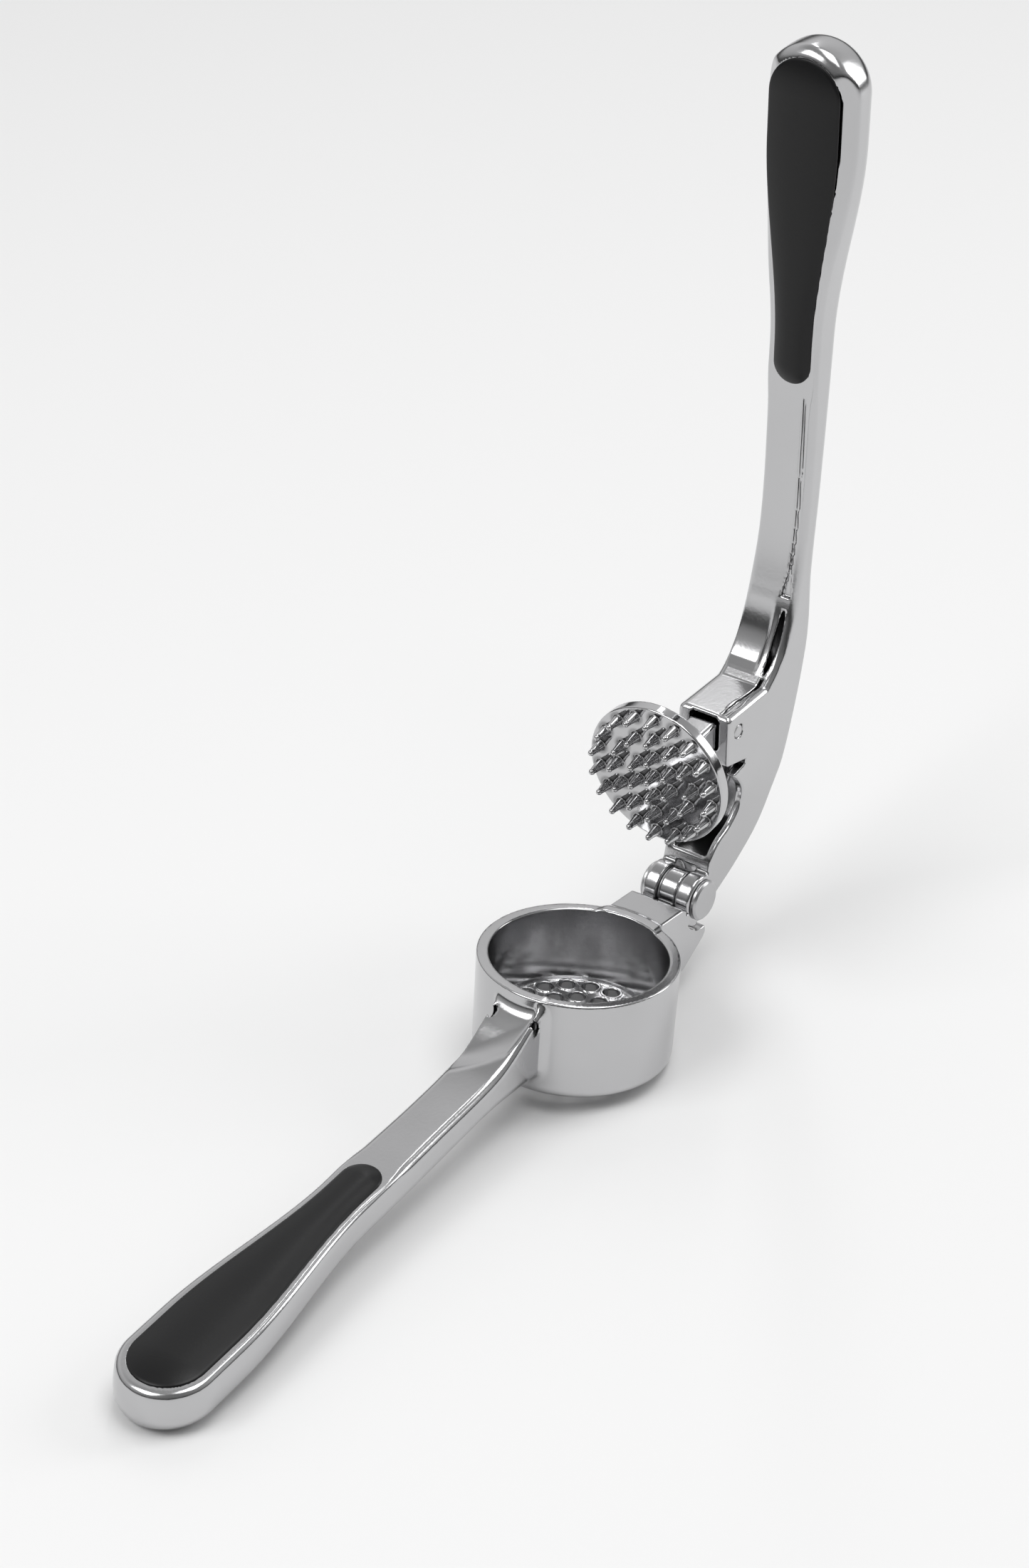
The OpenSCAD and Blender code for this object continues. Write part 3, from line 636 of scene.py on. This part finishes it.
class NodeKit:                      # makes nodes in one tree
    def __init__(self, tree):
        self.nodes = tree.nodes
        self.links = tree.links

    def node(self, kind, settings=None, inputs=None, output=0):
        made = self.nodes.new(kind)
        for key, value in (settings or {}).items():
            if key == "stops":
                ramp = made.color_ramp.elements
                while len(ramp) < len(value):
                    ramp.new(0.5)
                for element, (at, colour) in zip(ramp, value):
                    element.position = at
                    element.color = (*colour, 1) if hasattr(colour, "__len__") else (colour,) * 3 + (1,)
            else:
                setattr(made, key, value)
        for key, value in (inputs or {}).items():
            self.put(made.inputs[key], value)
        return Sock(self, made.outputs[output])

    def put(self, socket, value):
        if isinstance(value, Sock):
            self.links.new(value.socket, socket)
        else:
            socket.default_value = value


class Finish(NodeKit):              # one material
    def __init__(self, name):
        self.material = bpy.data.materials.new(name)
        self.material.use_nodes = True
        super().__init__(self.material.node_tree)
        self.shader = self.nodes["Principled BSDF"]

    def shade(self, **values):
        for key, value in values.items():
            self.put(self.shader.inputs[key.replace("_", " ")], value)

    def colourMix(self, factor, a, b):
        return self.node("ShaderNodeMix", {"data_type": "RGBA"}, {0: factor, 6: (*a, 1), 7: (*b, 1)}, 2)

    def bump(self, height, strength):
        relief = {"Height": height, "Distance": 0.001, "Strength": strength}
        self.shade(Normal=self.node("ShaderNodeBump", None, relief))

    def noise(self, scale, detail=3, rough=0.5, stretch=None):
        where = self.node("ShaderNodeTexCoord", output=3)
        if stretch:
            where = self.node("ShaderNodeMapping", None, {"Vector": where, "Scale": stretch})
        return self.node("ShaderNodeTexNoise", None, {"Vector": where, "Scale": scale, "Detail": detail,
                                                      "Roughness": rough})


# the film colour is painted shade for closed-in corners and recesses, and its share sets how dark they get
plating = dict(clean=(0.58, 0.58, 0.59), hazy=(0.48, 0.48, 0.485), film=(0.06, 0.06, 0.062), shadeShare=0.9,
               wave=0.03, grain=0.03, scratch=0.006,
               hazeScale=38, cloudScale=9, scratchScale=520, waveScale=60, grainScale=1400)


def platingFinish(name, rough, swing):
    f = Finish(name)
    haze = f.noise(plating["hazeScale"], 5, 0.6)
    cloud = f.noise(plating["cloudScale"], 2, 0.5)
    scratch = f.noise(plating["scratchScale"], 2, 0.6, (1, 14, 1))
    film = haze * 0.6 + cloud * 0.4
    # painted shade: closed-in points are mixed towards the dark film colour
    paintedShade = f.node("ShaderNodeAttribute", {"attribute_name": "closedIn"}, output=2)
    polished = f.colourMix(film, plating["hazy"], plating["clean"])
    f.shade(Base_Color=f.node("ShaderNodeMix", {"data_type": "RGBA"},
                              {0: paintedShade * plating["shadeShare"], 6: polished, 7: (*plating["film"], 1)}, 2),
            Roughness=rough + swing * film + swing * 0.4 * scratch, Metallic=1.0)
    waves = f.noise(plating["waveScale"], 2, 0.5)
    grain = f.noise(plating["grainScale"], 2, 0.5)
    height = waves * plating["wave"] + grain * plating["grain"] + scratch * plating["scratch"]
    f.bump(height, swing * 3)
    return f.material


steel = dict(light=(0.58, 0.58, 0.59), dark=(0.46, 0.46, 0.465), line=0.02, dent=0.01)


def steelFinish(name, rough, fineness):
    f = Finish(name)
    mottle = f.noise(70, 4, 0.6)
    lines = f.noise(fineness, 2, 0.55, (1, 1, 9))
    f.shade(Base_Color=f.colourMix(mottle, steel["dark"], steel["light"]),
            Roughness=rough + 0.1 * mottle + 0.06 * lines, Metallic=1.0)
    f.bump(lines * steel["line"] + mottle * steel["dent"], 0.3)
    return f.material


grip = dict(black=(0.004, 0.004, 0.0043), worn=(0.01, 0.01, 0.011), rough=0.25, grain=0.03, swell=0.05)


def gripFinish():
    f = Finish("gripRubber")
    cloud = f.noise(40, 4, 0.6)
    grain = f.noise(1500, 3, 0.6)
    dust = f.noise(2600, 1, 0.5) ** 9
    f.shade(Base_Color=f.colourMix(cloud * 0.7 + dust * 0.6, grip["black"], grip["worn"]),
            Roughness=grip["rough"] + 0.12 * cloud + 0.05 * grain)
    f.bump(grain * grip["grain"] + cloud * grip["swell"], 0.5)
    f.shader.inputs["Specular IOR Level"].default_value = 0.3
    return f.material


chrome = platingFinish("platedCasting", 0.1, 0.12)
brightChrome = platingFinish("platedPlunger", 0.05, 0.04)
sieveSteel = steelFinish("sieveSteel", 0.08, 600)
pinSteel = steelFinish("pinSteel", 0.24, 900)
rubber = gripFinish()
print("finishes made")

# Building the pieces
cells = dict(casting=0.42, plunger=0.27, sieve=0.24)
lower = castPiece("lowerCasting", lowerForm, (-144, -23, -21), (42, 23, 29), cells["casting"], cupFrame())
claim(lower, "hopper", "plated_casting", chrome, "hopper_handle")
upper = castPiece("upperCasting", upperForm, (-8, -12, -52), (182, 12, 8), cells["casting"],
                  pressFrame(hingeAt))
claim(upper, "press", "plated_casting", chrome, "press_handle")
hanging = pressFrame(pivotAt, plungerSize["lean"])
press = castPiece("plungerDisc", plungerForm, (-18, -18, -5), (18, 18, 27.5), cells["plunger"], hanging)
claim(press, "plunger", "plated_casting", brightChrome, "plunger")
sieve = castPiece("sievePlate", sieveForm, (-18, -18, 4), (18, 18, 7.6), cells["sieve"], cupFrame())
claim(sieve, "hopper", "sieve_steel", sieveSteel, "sieve_plate")

faceTilt = math.radians(handle["slope"])
seatHeight = handle["faceZ"] - handle["lowerX"] * math.tan(faceTilt)
lowerSeat = (cupFrame() @ Matrix.Translation((-handle["lowerX"], 0, seatHeight))
             @ Matrix.Rotation(-faceTilt, 4, "Y") @ Matrix.Rotation(math.pi, 4, "Z"))
claim(inlayPiece("lowerInlay", lowerSeat), "hopper", "grip_rubber", rubber, "lower_inlay")
upperSeat = pressFrame(hingeAt) @ Matrix.Translation((handle["upperU"], 0, -handle["offset"]))
claim(inlayPiece("upperInlay", upperSeat), "press", "grip_rubber", rubber, "upper_inlay")


def acrossAt(at):                   # mm, with +Z turned to the frame's -Y
    return Matrix.Translation(at) @ Matrix.Rotation(math.pi / 2, 4, "X") @ Matrix.Scale(mm, 4)


def washer(name, low, across):
    w = hardware
    return turned(name, [(w["washerIn"], low), (w["washerOut"], low), (w["washerOut"], low + w["washerT"]),
                         (w["washerIn"], low + w["washerT"]), (w["washerIn"], low)], across)


hardware = dict(spigotR=1.3, spigotFoot=1.32, capBore=1.36, headGap=0.05, headFall=0.45, headRise=0.5,
                washerIn=2.26, washerOut=4.6, washerT=0.4, washerAt=2.05,
                crossR=1.5, crossTip=1.25, crossHalf=6.27, crossFall=0.22)
across = acrossAt(hingeAt)
w = hardware
headIn = hinge["earOut"] + w["headGap"]
headOut = headIn + hinge["headT"]
headR, shankR = hinge["headR"], hinge["pinR"]
pin = turned("hingePin", [(0, -headOut), (w["spigotR"], -headOut), (w["spigotFoot"], -headIn),
                          (shankR, -headIn), (shankR, headIn), (headR, headIn),
                          (headR, headOut - w["headFall"]), (headR - w["headRise"], headOut), (0, headOut)],
             across)
claim(pin, "hopper", "pin_steel", pinSteel, "hinge_pin")
cap = turned("hingeCap", [(w["capBore"], -headIn), (headR, -headIn), (headR, -headOut + w["headFall"]),
                          (headR - w["headRise"], -headOut), (w["capBore"], -headOut),
                          (w["capBore"], -headIn)],
             across)
claim(cap, "hopper", "pin_steel", pinSteel, "hinge_cap")
washers = washer("hingeWashers", w["washerAt"], across)
other = washer("washerFar", -w["washerAt"] - w["washerT"], across)
with bpy.context.temp_override(active_object=washers, selected_editable_objects=[washers, other],
                               selected_objects=[washers, other]):
    bpy.ops.object.join()
claim(washers, "hopper", "washer_steel", pinSteel, "hinge_washers")
crossShoulder = w["crossHalf"] - w["crossFall"]
cross = turned("plungerPin", [(0, -w["crossHalf"]), (w["crossTip"], -w["crossHalf"]),
                              (w["crossR"], -crossShoulder), (w["crossR"], crossShoulder),
                              (w["crossTip"], w["crossHalf"]), (0, w["crossHalf"])], acrossAt(pivotAt), 48)
claim(cross, "press", "pin_steel", pinSteel, "plunger_pin")
print("pieces built")

# Studio
studio = dict(azimuth=-54.668, elevation=32.970, distance=0.73329, target=(-0.01734, -0.01571, 0.09626),
              lens=89.95, floorSize=6.0, floorGrey=0.88,
              skyRise=[(0.0, 0.3), (0.5, 0.06), (0.56, 0.1), (0.64, 0.68), (0.8, 0.85), (0.92, 0.5),
                       (1.0, 0.6)],
              skySide=0.42, skyLevel=0.62)


softboxes = [
    dict(name="keySoftbox", at=(-0.9, 0.5, 1.3), aim=(0, 0, 0.05), size=(0.9, 0.7), power=9),
    dict(name="topSoftbox", at=(0.2, -0.3, 1.6), aim=(0, 0, 0.05), size=(1.2, 0.8), power=10),
    dict(name="sideSoftbox", at=(1.2, -0.9, 0.7), aim=(0, 0, 0.1), size=(0.5, 0.9), power=5),
    dict(name="stripLight", at=(0.78, 0.46, 1.0), aim=(-0.09, 0, 0), size=(0.08, 0.5), power=0.7)]


def addCamera():
    a, e = math.radians(studio["azimuth"]), math.radians(studio["elevation"])
    back = Vector((math.sin(a) * math.cos(e), -math.cos(a) * math.cos(e), math.sin(e)))
    data = bpy.data.cameras.new("camera")
    data.sensor_fit = "VERTICAL"
    data.sensor_height = 36
    data.lens = studio["lens"]
    data.clip_start = 0.01
    camera = bpy.data.objects.new("camera", data)
    camera.location = Vector(studio["target"]) + back * studio["distance"]
    camera.rotation_euler = back.to_track_quat("Z", "Y").to_euler()
    bpy.context.scene.collection.objects.link(camera)
    bpy.context.scene.camera = camera


def addSoftLight(name, at, aim, size, power):
    data = bpy.data.lights.new(name, "AREA")
    data.shape = "RECTANGLE"
    data.size, data.size_y = size
    data.energy = power
    lamp = bpy.data.objects.new(name, data)
    lamp.location = at
    lamp.rotation_euler = (Vector(at) - Vector(aim)).to_track_quat("Z", "Y").to_euler()
    bpy.context.scene.collection.objects.link(lamp)


def addFloor():
    half = studio["floorSize"] / 2
    mesh = bpy.data.meshes.new("floor")
    corners = [(-half, -half, 0), (half, -half, 0), (half, half, 0), (-half, half, 0)]
    mesh.from_pydata(corners, [], [(0, 1, 2, 3)])
    floor = bpy.data.objects.new("floor", mesh)
    bpy.context.scene.collection.objects.link(floor)
    f = Finish("floorPaper")
    f.shade(Base_Color=(studio["floorGrey"],) * 3 + (1,), Roughness=0.7)
    mesh.materials.append(f.material)


def addSky():                       # a dim room, lighter behind the press and above it
    world = bpy.data.worlds.new("studio")
    bpy.context.scene.world = world
    world.use_nodes = True
    kit = NodeKit(world.node_tree)
    toward = kit.node("ShaderNodeTexCoord")
    split = kit.node("ShaderNodeSeparateXYZ", None, {"Vector": toward})
    east, north, high = (Sock(kit, split.socket.node.outputs[i]) for i in range(3))
    rise = kit.node("ShaderNodeValToRGB", {"stops": studio["skyRise"]}, {"Fac": high * 0.5 + 0.5})
    behind = (east * 0.78 + north * 0.62) * studio["skySide"] + studio["skyLevel"]
    kit.put(kit.nodes["Background"].inputs["Color"], rise)
    kit.put(kit.nodes["Background"].inputs["Strength"], behind)


addCamera()
addFloor()
addSky()
for softbox in softboxes:
    addSoftLight(**softbox)
bpy.context.scene.view_settings.view_transform = "Standard"
print("studio ready")
